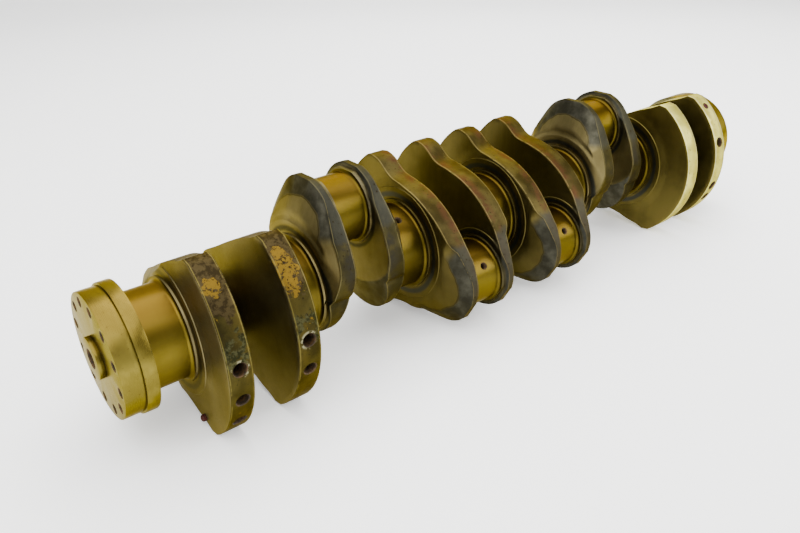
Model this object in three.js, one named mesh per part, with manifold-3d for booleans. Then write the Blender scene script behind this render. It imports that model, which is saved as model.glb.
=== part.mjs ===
// Crankshaft of a heavy in-line six diesel engine, in millimetres.
// The crank axis is the X axis, and the origin is the shaft's balance point on it.
// -X is the flange with the centre boss, +X the end drum, +Z up, with throws 2 and 5 straight up.
// The real shaft is one forging: each node is one region of it, meeting its neighbours on flat planes.
import * as THREE from 'three'
import { mergeVertices } from 'three/addons/utils/BufferGeometryUtils.js'
import Module from 'manifold-3d'

const wasm = await Module()
wasm.setup()

// Driving dimensions: the cylinder pitch, the middle of main journal 4, the throw, the journals, and half
// the gap between the webs beside one journal.
const PITCH = 150
const MIDDLE_X = -8
const THROW = 73
const MAIN_R = 52
const PIN_R = 39.5
const HALF_GAP = 24.5
const WEB_T = PITCH / 2 - 2 * HALF_GAP

// Facets of the big and the small round shapes.
const ROUND = 32
const ROUND_SMALL = 10

// Machined faces stand proud of the web, and a narrow collar on each meets the journal fillet.
const FACE_PROUD = 2.5
const COLLAR_PROUD = 4.5
const JOURNAL_HALF = HALF_GAP - COLLAR_PROUD
const FILLET = 3.5
const COLLAR_W = 5.5
const MAIN_FACE_R = 72.5
const PIN_FACE_R = 53

// Web outline, drawn with the throw straight up. A weight's rim is a sector 150 degrees from the throw.
// The other stations run from the rim, or the back of a plain web, to the tip beyond the crankpin.
const RIM_R = 118.5
const RIM_CENTRE = 240
const RIM_HALF_ANGLE = 61
const RIM_CORNER = 10
const RIM_INSET = 4
const RIM_STEPS = 14
const BACK_R = 63
const CHEEK = [[68, 52], [59, 72], [48, 92], [38, 107], [26, 116], [13, 121]]
const PLAIN_WAIST = [[68, 2], [74, 28]]
const OUTER_SHOULDER = [[60, -82], [64, -57], [66, -22], [67, 20]]
const MIDDLE_SHOULDER = [[62, -84], [60, -60], [68, -36], [75, -8], [75, 24]]
const FAR_FLANK = [[-106, 9], [-94, 23], [-82, 35], [-70, 50]]

// Flats milled on the web faces: the direction each faces, turned from the throw, where it starts from
// the crank axis, how fast it deepens, and how far down the web it runs.
const ALL_THE_WAY = -200
const FLATS_MAIN_SIDE = [
  { turns: [0], from: 75, slope: 0.36, low: ALL_THE_WAY },
  { turns: [-28, 28], from: 74, slope: 0.42, low: ALL_THE_WAY },
  { turns: [-50, 50], from: 76, slope: 0.8, low: 8 },
]
const FLATS_PIN_SIDE = [
  { turns: [0], from: 104, slope: 0.28, low: ALL_THE_WAY },
  { turns: [-34, 34], from: 101, slope: 0.4, low: ALL_THE_WAY },
]
const SIDE_FLATS = {
  outer: [{ turns: [83], from: 58, slope: 0.7, low: ALL_THE_WAY }],
  middle: [],
  plain: [
    { turns: [-68, 68], from: 70, slope: 1, low: ALL_THE_WAY },
    { turns: [-83, 83], from: 60, slope: 0.55, low: ALL_THE_WAY },
  ],
}

// Turned bevels at the other end of a web with no weight: cones about the crankpin and the journal,
// each kept below a height on the web.
const HEEL_CONES = {
  pinSide: { centre: THROW, radius: 92, slope: 0.38, top: 30 },
  mainSide: { centre: 0, radius: 51, slope: 0.45, top: -25 },
}
const PLAIN_PIN_FACE_R = HEEL_CONES.pinSide.radius + 10

// Throw angles, from +Y towards +Z.
const THROW_ANGLES = [-30, 90, 210, 210, 90, -30]
const WEB_KINDS = { outer: [1, 2, 11, 12], middle: [5, 6, 7, 8] }

// Oil holes, and the crankpin beside each main journal that sets its angle.
const OIL_R = 3.5
const OIL_MOUTH_R = 5.5
const OIL_DEPTH = 12
const PIN_OIL_TURN = -66
const MAIN_OIL_TURN = 28
const MAIN_OIL_PIN = [1, 1, 2, 3, 5, 6, 6]

// Balance holes drilled into the weight rims, and the two plugs.
const BALANCE_R = 7
const BALANCE_DEPTH = 18
const BALANCE_ANGLES = { 1: [177, 195, 213], 2: [177, 194.5], 12: [161.5, 196, 207] }
const PLUG_R = 4.2
const PLUG_PROUD = 5
const PLUG_DEPTH = 10
const PLUG_PLAY = 0.3
const PLUG_CHAMFER = 1.5
const FACE_PLUG = { web: 1, centre: [-42, -90] }
const RIM_PLUG = { web: 12, turn: 132.5 }

// Flange end.
const FLANGE_R = 66
const FLANGE_T = 20
const SHOULDER_R = 68.5
const SHOULDER_T = 13.5
const MAIN_1_OUTER = 20.5
const BOSS_R = 22
const BOSS_PROUD = 6
const BOSS_HOLE_R = 10
const BOLT_COUNT = 12
const BOLT_CIRCLE_R = 56
const BOLT_R = 5
const BOLT_DEPTH = 15
const BOLT_START = 12

// Drum at the far end, with a pilot recess and a bolt circle of its own.
const DRUM_R = 72.5
const DRUM_T = 45.5
const DRUM_CHAMFER = 1.5
const PILOT_R = 30
const PILOT_DEPTH = 12
const DRUM_BOLT_COUNT = 10
const DRUM_BOLT_CIRCLE_R = 52
const DRUM_BOLT_R = 6.5
const DRUM_BOLT_DEPTH = 30

const group = new THREE.Group()
group.name = 'crankshaft'

const steel = (color, roughness) => new THREE.MeshStandardMaterial({ color, metalness: 0.9, roughness })
const ground = () => steel(0xa07c2e, 0.3)
const machined = () => steel(0xa88f48, 0.4)
const forged = () => steel(0x5a4a1c, 0.55)
const rimmed = () => steel(0x6f5e2a, 0.6)
const red = () => new THREE.MeshStandardMaterial({ color: 0x5a1a12, metalness: 0, roughness: 0.6 })

const rad = THREE.MathUtils.degToRad
const mainX = k => MIDDLE_X + PITCH * (k - 4)
const pinX = k => MIDDLE_X + PITCH * (k - 3.5)
const webX = n => (n % 2 === 1 ? mainX((n + 1) / 2) : pinX(n / 2)) + HALF_GAP
const polar = (r, deg) => [r * Math.cos(rad(deg)), r * Math.sin(rad(deg))]
const throwCentre = k => polar(THROW, THROW_ANGLES[k - 1])

// Closed manifold solid from a three.js geometry, turned outward if it is inside out.
function solid(geometry) {
  geometry.deleteAttribute('normal')
  geometry.deleteAttribute('uv')
  const merged = mergeVertices(geometry, 1e-4)
  const vertProperties = Float32Array.from(merged.attributes.position.array)
  const triVerts = Uint32Array.from(merged.index.array)
  const isVolumePositive = signedVolume(vertProperties, triVerts) > 0
  if (!isVolumePositive) {
    for (let i = 0; i < triVerts.length; i += 3) {
      const swap = triVerts[i]
      triVerts[i] = triVerts[i + 1]
      triVerts[i + 1] = swap
    }
  }
  return new wasm.Manifold(new wasm.Mesh({ numProp: 3, vertProperties, triVerts }))
}

function signedVolume(positions, triangles) {
  const corner = i => new THREE.Vector3().fromArray(positions, 3 * i)
  let total = 0
  for (let i = 0; i < triangles.length; i += 3) {
    const [a, b, c] = [corner(triangles[i]), corner(triangles[i + 1]), corner(triangles[i + 2])]
    total += a.dot(b.cross(c)) / 6
  }
  return total
}

// Named mesh from a manifold solid.
function add(name, body, material) {
  const out = body.getMesh()
  const geometry = new THREE.BufferGeometry()
  geometry.setAttribute('position', new THREE.BufferAttribute(Float32Array.from(out.vertProperties), 3))
  geometry.setIndex(new THREE.BufferAttribute(Uint32Array.from(out.triVerts), 1))
  geometry.computeVertexNormals()
  const mesh = new THREE.Mesh(geometry, material)
  mesh.name = name
  group.add(mesh)
}

// Solid of revolution about a line parallel to X. The profile is [radius, x] from axis to axis.
function turned(profile, [y, z] = [0, 0], segments = ROUND) {
  const points = profile.map(([r, x]) => new THREE.Vector2(r, x))
  const geometry = new THREE.LatheGeometry(points, segments)
  geometry.rotateZ(-Math.PI / 2)
  geometry.translate(0, y, z)
  return solid(geometry)
}

// Radial cutter: mouth at the given distance from the line at [y, z], flaring at 45 degrees outside it.
function drill(x, [y, z], deg, surfaceR, radius, depth, mouthR = radius) {
  const over = 4
  const chamfer = mouthR - radius
  const profile = [
    [0, surfaceR - depth],
    [radius, surfaceR - depth],
    [radius, surfaceR - chamfer],
    [mouthR + over, surfaceR + over],
    [0, surfaceR + over],
  ]
  return radial(profile, x, [y, z], deg)
}

// Solid of revolution about a line in the YZ plane: profile [radius, distance out], turned to an angle.
function radial(profile, x, [y, z], deg) {
  const geometry = new THREE.LatheGeometry(profile.map(([r, h]) => new THREE.Vector2(r, h)), ROUND_SMALL)
  geometry.rotateX(rad(deg))
  geometry.translate(x, y, z)
  return solid(geometry)
}

// Plate in the YZ plane, from its outline and its two X faces.
function plate(outline, x0, x1) {
  const shape = new THREE.Shape(outline)
  const geometry = new THREE.ExtrudeGeometry(shape, { depth: x1 - x0, bevelEnabled: false })
  const toYZ = new THREE.Matrix4().makeBasis(
    new THREE.Vector3(0, 1, 0),
    new THREE.Vector3(0, 0, 1),
    new THREE.Vector3(1, 0, 0),
  )
  geometry.applyMatrix4(toYZ)
  geometry.translate(x0, 0, 0)
  return solid(geometry)
}

// Half profile of a journal from its middle to the pad face: ground cylinder, then the fillet.
const filleted = radius => [
  [radius, JOURNAL_HALF - FILLET],
  [radius + FILLET * 0.3, JOURNAL_HALF - FILLET * 0.3],
  [radius + FILLET, JOURNAL_HALF],
]

// Journal between two pads, drilled once for oil.
function journal(centreX, axis, radius, oilDeg) {
  const right = filleted(radius).map(([r, x]) => [r, centreX + x])
  const left = filleted(radius).map(([r, x]) => [r, centreX - x]).reverse()
  const profile = [[0, centreX - JOURNAL_HALF], ...left, ...right, [0, centreX + JOURNAL_HALF]]
  const body = turned(profile, axis)
  return body.subtract(drill(centreX, axis, oilDeg, radius, OIL_R, OIL_DEPTH, OIL_MOUTH_R))
}

// Smooth run of outline points through the given stations.
const smooth = (stations, steps) =>
  new THREE.SplineCurve(stations.map(([y, z]) => new THREE.Vector2(y, z))).getPoints(steps)

// Web without a weight: cheeks, then round the back of the main journal.
function plainOutline() {
  const right = smooth([...PLAIN_WAIST, ...CHEEK], 14)
  const left = right.map(p => new THREE.Vector2(-p.x, p.y)).reverse()
  const back = []
  for (let deg = 190; deg <= 350; deg += 16) back.push(new THREE.Vector2(...polar(BACK_R, deg)))
  return [...right, ...left, ...back]
}

// Web with a weight. The shoulder is the stretch between the weight and the cheek.
function weightedOutline(shoulder) {
  const end = RIM_CENTRE + RIM_HALF_ANGLE
  const start = RIM_CENTRE - RIM_HALF_ANGLE
  const cornerTurn = THREE.MathUtils.radToDeg(RIM_CORNER / RIM_R)
  const right = smooth([polar(RIM_R - RIM_INSET, end), ...shoulder, ...CHEEK], 24)
  const farCheek = CHEEK.slice(1).map(([y, z]) => [-y, z])
  const left = smooth([polar(RIM_R - RIM_INSET, start), ...FAR_FLANK, ...farCheek], 18).reverse()
  const rim = []
  const [from, to] = [start + cornerTurn, end - cornerTurn]
  for (let i = 0; i <= RIM_STEPS; i++) {
    rim.push(new THREE.Vector2(...polar(RIM_R, from + (to - from) * i / RIM_STEPS)))
  }
  return [...right, ...left, ...rim]
}

const turnedBy = (outline, deg) => outline.map(p => p.clone().rotateAround(new THREE.Vector2(), rad(deg)))
const mirrored = outline => outline.map(p => new THREE.Vector2(-p.x, p.y)).reverse()

// All the flats of one web face, as cutters.
const flats = (table, journalX, side, deg) =>
  table.flatMap(flat => flat.turns.map(turn => flatCutter(flat, journalX, side, deg, turn)))

// Wedge that mills a flat across one face of a web. Side is the X direction of the web from its journal.
function flatCutter(flat, journalX, side, deg, turn) {
  const faceX = journalX + side * (HALF_GAP - FACE_PROUD)
  const span = 100
  const far = flat.from + span
  const shape = new THREE.Shape([
    new THREE.Vector2(flat.from, faceX),
    new THREE.Vector2(far, faceX + side * flat.slope * span),
    new THREE.Vector2(far, faceX - side * 5),
    new THREE.Vector2(flat.from, faceX - side * 5),
  ])
  const high = 2 * span
  const geometry = new THREE.ExtrudeGeometry(shape, { depth: high - flat.low, bevelEnabled: false })
  geometry.translate(0, 0, turn > 0 ? flat.low : -high)
  const toRow = new THREE.Matrix4().makeBasis(
    new THREE.Vector3(0, 1, 0),
    new THREE.Vector3(1, 0, 0),
    new THREE.Vector3(0, 0, -1),
  )
  geometry.applyMatrix4(toRow)
  geometry.rotateX(rad(deg + turn))
  return solid(geometry)
}

// Cutter for a turned bevel: the half slab away from the crankpin, with the cone taken out of it.
function coneCutter(bevel, journalX, side, deg) {
  const faceX = journalX + side * (HALF_GAP - FACE_PROUD)
  const deep = 20
  const proud = 3
  const inset = 0.5
  const reach = 260
  const cone = turned([
    [0, faceX - side * proud],
    [bevel.radius - proud / bevel.slope, faceX - side * proud],
    [bevel.radius + deep / bevel.slope, faceX + side * deep],
    [0, faceX + side * deep],
  ], [0, bevel.centre])
  const box = new THREE.BoxGeometry(deep + proud - 2 * inset, 2 * reach, reach)
  box.translate(faceX + side * (deep - proud) / 2, 0, bevel.top - reach / 2)
  return solid(box).subtract(cone).rotate([deg - 90, 0, 0])
}

// Machined face: a disc about a journal, trimmed to the web's outline.
function machinedFace(outline, journalX, side, radius, axis) {
  const top = journalX + side * (HALF_GAP - FACE_PROUD)
  const root = journalX + side * (HALF_GAP + 2)
  const disc = turned([[0, top], [radius, top], [radius, root], [0, root]], axis)
  return disc.intersect(plate(outline, Math.min(top, root) - 1, Math.max(top, root) + 1))
}

// Collar around a journal's end, rooted a little inside the web.
function collar(journalX, side, radius, axis) {
  const top = journalX + side * JOURNAL_HALF
  const root = journalX + side * (HALF_GAP + 2)
  return turned([[0, top], [radius + COLLAR_W, top], [radius + COLLAR_W, root], [0, root]], axis)
}

const webKind = n => Object.keys(WEB_KINDS).find(kind => WEB_KINDS[kind].includes(n)) ?? 'plain'

// Outline of web n, turned to its throw. The outer webs are the mirror image of the middle ones.
function webOutline(n) {
  const kind = webKind(n)
  const turn = THROW_ANGLES[Math.ceil(n / 2) - 1] - 90
  if (kind === 'plain') return turnedBy(plainOutline(), turn)
  if (kind === 'middle') return turnedBy(weightedOutline(MIDDLE_SHOULDER), turn)
  return turnedBy(mirrored(weightedOutline(OUTER_SHOULDER)), turn)
}

// Web n, between a main journal and crankpin ceil(n / 2).
function web(n) {
  const k = Math.ceil(n / 2)
  const isLeft = n % 2 === 1
  const x0 = webX(n)
  const x1 = x0 + WEB_T
  const mainSide = isLeft ? 1 : -1
  const nearMainX = isLeft ? mainX(k) : mainX(k + 1)
  const deg = THROW_ANGLES[k - 1]
  const kind = webKind(n)
  const isPlain = kind === 'plain'
  const outline = webOutline(n)
  const pinFaceR = isPlain ? PLAIN_PIN_FACE_R : PIN_FACE_R
  let body = plate(outline, x0, x1)
  body = body.add(machinedFace(outline, nearMainX, mainSide, MAIN_FACE_R, [0, 0]))
  body = body.add(machinedFace(outline, pinX(k), -mainSide, pinFaceR, throwCentre(k)))
  const mainFlats = [...FLATS_MAIN_SIDE, ...SIDE_FLATS[kind]]
  for (const cut of flats(mainFlats, nearMainX, mainSide, deg)) body = body.subtract(cut)
  for (const cut of flats(FLATS_PIN_SIDE, pinX(k), -mainSide, deg)) body = body.subtract(cut)
  if (isPlain) {
    body = body.subtract(coneCutter(HEEL_CONES.pinSide, pinX(k), -mainSide, deg))
    body = body.subtract(coneCutter(HEEL_CONES.mainSide, nearMainX, mainSide, deg))
  }
  body = body.add(collar(nearMainX, mainSide, MAIN_R, [0, 0]))
  body = body.add(collar(pinX(k), -mainSide, PIN_R, throwCentre(k)))
  for (const holeDeg of BALANCE_ANGLES[n] ?? []) {
    body = body.subtract(drill((x0 + x1) / 2, [0, 0], holeDeg, RIM_R, BALANCE_R, BALANCE_DEPTH))
  }
  if (n in PLUG_MAKERS) body = body.subtract(pocket(n))
  return body
}

// End flange with its bolt circle, the shoulder behind it, and the centre boss.
function flangeEnd() {
  const shoulderX = mainX(1) - MAIN_1_OUTER - SHOULDER_T
  const faceX = shoulderX - FLANGE_T
  const disc = [
    [0, faceX],
    [FLANGE_R - 1, faceX],
    [FLANGE_R, faceX + 1],
    [FLANGE_R, shoulderX],
    [0, shoulderX],
  ]
  const circle = { count: BOLT_COUNT, circleR: BOLT_CIRCLE_R, radius: BOLT_R }
  add('flange_disc', bolted(turned(disc), circle, faceX, faceX + BOLT_DEPTH), machined())
  const shoulder = [
    [0, shoulderX],
    [SHOULDER_R - 1, shoulderX],
    [SHOULDER_R, shoulderX + 1],
    [SHOULDER_R, shoulderX + SHOULDER_T],
    [0, shoulderX + SHOULDER_T],
  ]
  add('flange_shoulder', turned(shoulder), machined())
  const bossX = faceX - BOSS_PROUD
  const boss = [
    [0, faceX - 1],
    [BOSS_HOLE_R, faceX - 1],
    [BOSS_HOLE_R, bossX],
    [BOSS_R, bossX],
    [BOSS_R, faceX],
    [0, faceX],
  ]
  add('flange_boss', turned(boss), machined())
}

// Main journals; the outer ends of 1 and 7 run straight into the flange and the end land.
function mains() {
  for (let k = 1; k <= 7; k++) {
    const oilDeg = THROW_ANGLES[MAIN_OIL_PIN[k - 1] - 1] + MAIN_OIL_TURN
    const isEnd = k === 1 || k === 7
    const body = isEnd ? endMain(k, oilDeg) : journal(mainX(k), [0, 0], MAIN_R, oilDeg)
    add(`main_journal_${k}`, body, ground())
  }
}

// Main journal 1 or 7: a fillet on the web side only, running straight into the shaft's end.
function endMain(k, oilDeg) {
  const side = k === 1 ? 1 : -1
  const outer = k === 1 ? MAIN_1_OUTER : HALF_GAP
  const half = [[0, -outer], [MAIN_R, -outer], ...filleted(MAIN_R), [0, JOURNAL_HALF]]
  const body = turned(half.map(([r, x]) => [r, mainX(k) + side * x]))
  return body.subtract(drill(mainX(k), [0, 0], oilDeg, MAIN_R, OIL_R, OIL_DEPTH, OIL_MOUTH_R))
}

function crankpins() {
  for (let k = 1; k <= 6; k++) {
    const oilDeg = THROW_ANGLES[k - 1] + PIN_OIL_TURN
    add(`crankpin_${k}`, journal(pinX(k), throwCentre(k), PIN_R, oilDeg), ground())
  }
}

// Far end: the drum beside main journal 7, with its pilot recess and bolt holes.
function endDrum() {
  const innerX = mainX(7) + HALF_GAP
  const faceX = innerX + DRUM_T
  const profile = [
    [0, innerX],
    [DRUM_R, innerX],
    [DRUM_R, faceX - DRUM_CHAMFER],
    [DRUM_R - DRUM_CHAMFER, faceX],
    [PILOT_R, faceX],
    [PILOT_R, faceX - PILOT_DEPTH],
    [0, faceX - PILOT_DEPTH],
  ]
  const circle = { count: DRUM_BOLT_COUNT, circleR: DRUM_BOLT_CIRCLE_R, radius: DRUM_BOLT_R }
  add('end_drum', bolted(turned(profile), circle, faceX, faceX - DRUM_BOLT_DEPTH), machined())
}

// Blind holes on a bolt circle, from a face to a floor along X.
function bolted(body, circle, faceX, floorX) {
  const outX = faceX + Math.sign(faceX - floorX) * 2
  for (let i = 0; i < circle.count; i++) {
    const centre = polar(circle.circleR, BOLT_START + i * 360 / circle.count)
    const hole = [[0, outX], [circle.radius, outX], [circle.radius, floorX], [0, floorX]]
    body = body.subtract(turned(hole, centre, ROUND_SMALL))
  }
  return body
}

// Plug in a web's flange-side face, as a profile of [radius, x] about a line parallel to X.
function facePlug(radius, depth, proud, chamfer) {
  const faceX = webX(FACE_PLUG.web)
  return turned([
    [0, faceX + depth],
    [radius, faceX + depth],
    [radius, faceX - proud + chamfer],
    [radius - chamfer, faceX - proud],
    [0, faceX - proud],
  ], FACE_PLUG.centre, ROUND_SMALL)
}

// Plug in a weight's rim, flush with it, as a profile of [radius, distance out from the crank axis].
function rimPlug(radius, depth, proud, chamfer) {
  return radial([
    [0, RIM_R - depth],
    [radius, RIM_R - depth],
    [radius, RIM_R + proud - chamfer],
    [radius - chamfer, RIM_R + proud],
    [0, RIM_R + proud],
  ], webX(RIM_PLUG.web) + WEB_T / 2, [0, 0], RIM_PLUG.turn)
}

const PLUG_MAKERS = { [FACE_PLUG.web]: facePlug, [RIM_PLUG.web]: rimPlug }
const PLUG_STANDS = { [FACE_PLUG.web]: PLUG_PROUD, [RIM_PLUG.web]: 0 }

// Drilled pocket that leaves a little play round the plug and under it.
const pocket = n => PLUG_MAKERS[n](PLUG_R + PLUG_PLAY, PLUG_DEPTH + PLUG_PLAY, PLUG_PROUD, 0)

function plugs() {
  for (const [n, make] of Object.entries(PLUG_MAKERS)) {
    add(`balance_plug_web_${n}`, make(PLUG_R, PLUG_DEPTH, PLUG_STANDS[n], PLUG_CHAMFER), red())
  }
}

flangeEnd()
mains()
crankpins()
for (let n = 1; n <= 12; n++) add(`web_${n}`, web(n), webKind(n) === 'plain' ? forged() : rimmed())
endDrum()
plugs()

export default group
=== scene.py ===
"""Looks of an in-line six crankshaft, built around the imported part.

The crank axis is X. Webs are drawn in a plane of their own, in millimetres: u across, v towards the
throw, with the crank axis at (0, 0) and the crankpin axis at (0, THROW).
"""

import math
import operator

import bmesh
import bpy
from mathutils import Matrix, Vector


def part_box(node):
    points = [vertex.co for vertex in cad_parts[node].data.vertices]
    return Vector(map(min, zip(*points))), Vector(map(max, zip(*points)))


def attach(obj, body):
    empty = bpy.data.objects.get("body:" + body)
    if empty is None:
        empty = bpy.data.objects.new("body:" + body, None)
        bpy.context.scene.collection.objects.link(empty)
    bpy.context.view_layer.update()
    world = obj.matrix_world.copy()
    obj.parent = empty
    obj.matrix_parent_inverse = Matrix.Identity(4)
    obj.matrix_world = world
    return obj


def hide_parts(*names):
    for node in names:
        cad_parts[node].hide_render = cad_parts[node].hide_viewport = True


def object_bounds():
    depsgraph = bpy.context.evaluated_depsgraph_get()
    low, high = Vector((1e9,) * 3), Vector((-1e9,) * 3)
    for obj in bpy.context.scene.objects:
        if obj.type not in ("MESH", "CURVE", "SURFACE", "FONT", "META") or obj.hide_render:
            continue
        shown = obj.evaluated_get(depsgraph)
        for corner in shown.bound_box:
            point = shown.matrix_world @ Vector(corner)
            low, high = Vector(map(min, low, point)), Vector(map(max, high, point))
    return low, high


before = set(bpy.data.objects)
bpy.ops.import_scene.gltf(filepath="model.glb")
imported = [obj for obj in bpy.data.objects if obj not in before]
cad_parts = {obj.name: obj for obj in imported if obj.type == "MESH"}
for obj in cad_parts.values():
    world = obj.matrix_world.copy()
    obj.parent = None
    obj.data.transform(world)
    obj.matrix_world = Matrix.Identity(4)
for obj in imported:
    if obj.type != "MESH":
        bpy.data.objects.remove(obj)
cad_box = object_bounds()

MM = 0.001

# Shaft sizes, in millimetres. HALF_GAP is half the gap between the webs beside a journal.
THROW = 73
MAIN_R = 52
PIN_R = 39.5
FILLET = 3.5
HALF_GAP = 20

# Machined rings round a journal: a collar, then a face, which ends in a lip and a run to the forged plane.
COLLAR_W = 5.5
COLLAR_PROUD = 2
MAIN_FACE_R = 72.5
PIN_FACE_R = {"weighted": 53, "plain": 102}
FACE_PROUD = 2.5
EDGE_LIP = 0.7
EDGE_RUN = 12

# Small round along a web's edge, and how finely things are drawn.
EDGE = 1.1
JOURNAL_SEGMENTS = 144
FILLET_STEPS = 8
RIM_STEPS = 4
OUTLINE_STEPS = {"plain": 50, "near": 76, "far": 60, "rim": 56}
BACK_STEP_DEG = 4

# Web outline: the cheeks of the crankpin end, the weight's rim, and the flanks between them.
CHEEK = [(68, 52), (59, 72), (48, 92), (38, 107), (26, 116), (13, 121)]
RIM_R = 118.5
RIM_CENTRE = 240
RIM_HALF_ANGLE = 61
RIM_CORNER = 10
RIM_INSET = 4
PLAIN_WAIST = [(68, 2), (74, 28)]
BACK_R = 63
SHOULDERS = {
    "outer": [(60, -82), (64, -57), (66, -22), (67, 20)],
    "middle": [(62, -84), (60, -60), (68, -36), (75, -8), (75, 24)],
}
FAR_FLANK = [(-106, 9), (-94, 23), (-82, 35), (-70, 50)]
WEB_KIND = {n: "outer" for n in (1, 2, 11, 12)} | {n: "middle" for n in (5, 6, 7, 8)}
FAR_WEBS = (11, 12)

# Tapers of the web faces: (turn from the throw, start, slope).
TIP_MAIN = [(0, 75, 0.36), (28, 74, 0.42), (-28, 74, 0.42), (50, 76, 0.8), (-50, 76, 0.8)]
TIP_PIN = [(0, 104, 0.28), (34, 101, 0.4), (-34, 101, 0.4)]
SIDE_TAPERS = {
    "plain": [(68, 70, 1.0), (-68, 70, 1.0), (83, 60, 0.55), (-83, 60, 0.55)],
    "outer": [(-83, 58, 0.7)],
    "middle": [],
}
TIP_CORNER_TURN = 50
TIP_CORNER_FADE = 16

# Heel bevels of the plain webs: (start, slope), and where they begin below the axis.
HEEL_PIN = (92, 0.38)
HEEL_MAIN = (51, 0.45)
HEEL_PIN_TOP = 30
HEEL_MAIN_TOP = -5
HEEL_MAIN_FADE = 30

# Drillings. An oil hole is turned from its crankpin's throw; a main journal's, from a neighbour's throw.
OIL_R = 3.5
OIL_MOUTH = 5.5
OIL_DEPTH = 12
PIN_OIL_TURN = -66
MAIN_OIL_TURN = 28
MAIN_OIL_PIN = [1, 1, 2, 3, 5, 6, 6]
BALANCE_R = 7
PLUG_R = 4.2
BALANCE_DEPTH = 18
RIM_PLUG_WEB = 12
BALANCE_ANGLES = {1: [177, 195, 213], 2: [177, 194.5], 12: [161.5, 196, 207]}
FLANGE_BOLTS = {"count": 12, "circle_r": 56, "radius": 5, "depth": 15}
DRUM_BOLTS = {"count": 10, "circle_r": 52, "radius": 6.5, "depth": 30}
BOLT_START = 12
BOSS_BORE_R = 10
PILOT_R = 30

# Radii at which the profiles of the turned end pieces start, inside what shows.
CORE_R = 40
CAP_R = 20
BOSS_CAP_R = 6

# Marks on the rims of webs 1 and 2: the chipped hole's angle, and one bare patch on each, with its
# angle, its offset along the shaft in millimetres and its half size in metres.
CHIPPED_DEG = 177
BARE_PATCH = {1: (137, -3, (0.0085, 0.010, 0.010)), 2: (141, -4, (0.012, 0.022, 0.026))}


def centre_of(node):
    """Centre of a CAD node's box."""
    low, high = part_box(node)
    return (Vector(low) + Vector(high)) / 2


# ---------------------------------------------------------------- shader helpers


class Graph:
    """A material's node tree, with one short call for each kind of node."""

    def __init__(self, name):
        self.material = bpy.data.materials.new(name)
        self.material.use_nodes = True
        self.tree = self.material.node_tree
        self.shader = self.tree.nodes["Principled BSDF"]

    def node(self, kind, inputs=(), **settings):
        made = self.tree.nodes.new(kind)
        for key, value in settings.items():
            setattr(made, key, value)
        for key, value in dict(inputs).items():
            self.feed(made.inputs[key], value)
        return made

    def feed(self, socket, value):
        if isinstance(value, bpy.types.NodeSocket):
            self.tree.links.new(value, socket)
        elif isinstance(value, tuple) and len(value) == 3 and socket.type == "RGBA":
            socket.default_value = (*value, 1)
        else:
            socket.default_value = value

    def coords(self):
        return self.node("ShaderNodeTexCoord").outputs["Object"]

    def attribute(self, name):
        return self.node("ShaderNodeAttribute", attribute_name=name).outputs["Vector"]

    def stretch(self, vector, x, y, z):
        made = self.node("ShaderNodeMapping", {"Vector": vector, "Scale": (x, y, z)})
        return made.outputs["Vector"]

    def noise(self, vector, scale, detail=3, roughness=0.55):
        inputs = {"Vector": vector, "Scale": scale, "Detail": detail, "Roughness": roughness}
        return self.node("ShaderNodeTexNoise", inputs).outputs["Fac"]

    def math(self, operation, a, b=0.0):
        made = self.node("ShaderNodeMath", {0: a, 1: b}, operation=operation)
        return made.outputs[0]

    def split(self, vector):
        made = self.node("ShaderNodeSeparateXYZ", {0: vector})
        return [made.outputs[i] for i in range(3)]

    def join(self, x, y, z):
        return self.node("ShaderNodeCombineXYZ", {0: x, 1: y, 2: z}).outputs[0]

    def length(self, a, b):
        """Length of the hypotenuse over two sides."""
        return self.math("SQRT", self.math("ADD", self.math("MULTIPLY", a, a), self.math("MULTIPLY", b, b)))

    def mean(self, a, b):
        return self.math("ADD", self.math("MULTIPLY", a, 0.5), self.math("MULTIPLY", b, 0.5))

    def centred(self, value, width):
        """A 0 to 1 value moved to run across a width about 0."""
        return self.math("MULTIPLY", self.math("SUBTRACT", value, 0.5), width)

    def step(self, value, low, high):
        """0 below low, 1 above high, smooth between; falls instead if low is above high."""
        inputs = {"Value": value, "From Min": low, "From Max": high}
        return self.node("ShaderNodeMapRange", inputs, interpolation_type="SMOOTHSTEP").outputs[0]

    def scaled(self, value, low, high):
        """A 0 to 1 value scaled to run from low to high."""
        return self.node("ShaderNodeMapRange", {"Value": value, "To Min": low, "To Max": high}).outputs[0]

    def mix(self, factor, a, b, blend="MIX"):
        made = self.node("ShaderNodeMix", data_type="RGBA", blend_type=blend)
        self.feed(made.inputs[0], factor)
        self.feed(made.inputs[6], a)
        self.feed(made.inputs[7], b)
        return made.outputs[2]

    def bump(self, height, strength, distance, normal=None):
        inputs = {"Height": height, "Strength": strength, "Distance": distance}
        made = self.node("ShaderNodeBump", inputs)
        if normal is not None:
            self.feed(made.inputs["Normal"], normal)
        return made.outputs[0]

    def finish(self, **sockets):
        for key, value in sockets.items():
            self.feed(self.shader.inputs[key.replace("_", " ")], value)
        return self.material


# ---------------------------------------------------------------- materials


# What the oily coat turns a glancing reflection into.
EDGE_TINT = (0.607, 0.529, 0.314)


def band(g, value, low, high, soft):
    """1 between low and high, falling off over a soft width on each side."""
    rise = g.step(value, low - soft, low + soft)
    fall = g.step(value, high + soft, high - soft)
    return g.math("MULTIPLY", rise, fall)


# Coat of a journal: dark and pale clouds, grinding rings, and a warmer top tone that is painted light on
# upward faces.
JOURNAL_TONES = (
    (0.100, 0.0757, 0.0071),
    (0.154, 0.118, 0.0143),
    (0.107, 0.0657, 0.0057),
    (0.118, 0.0643, 0.0079),
)


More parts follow.
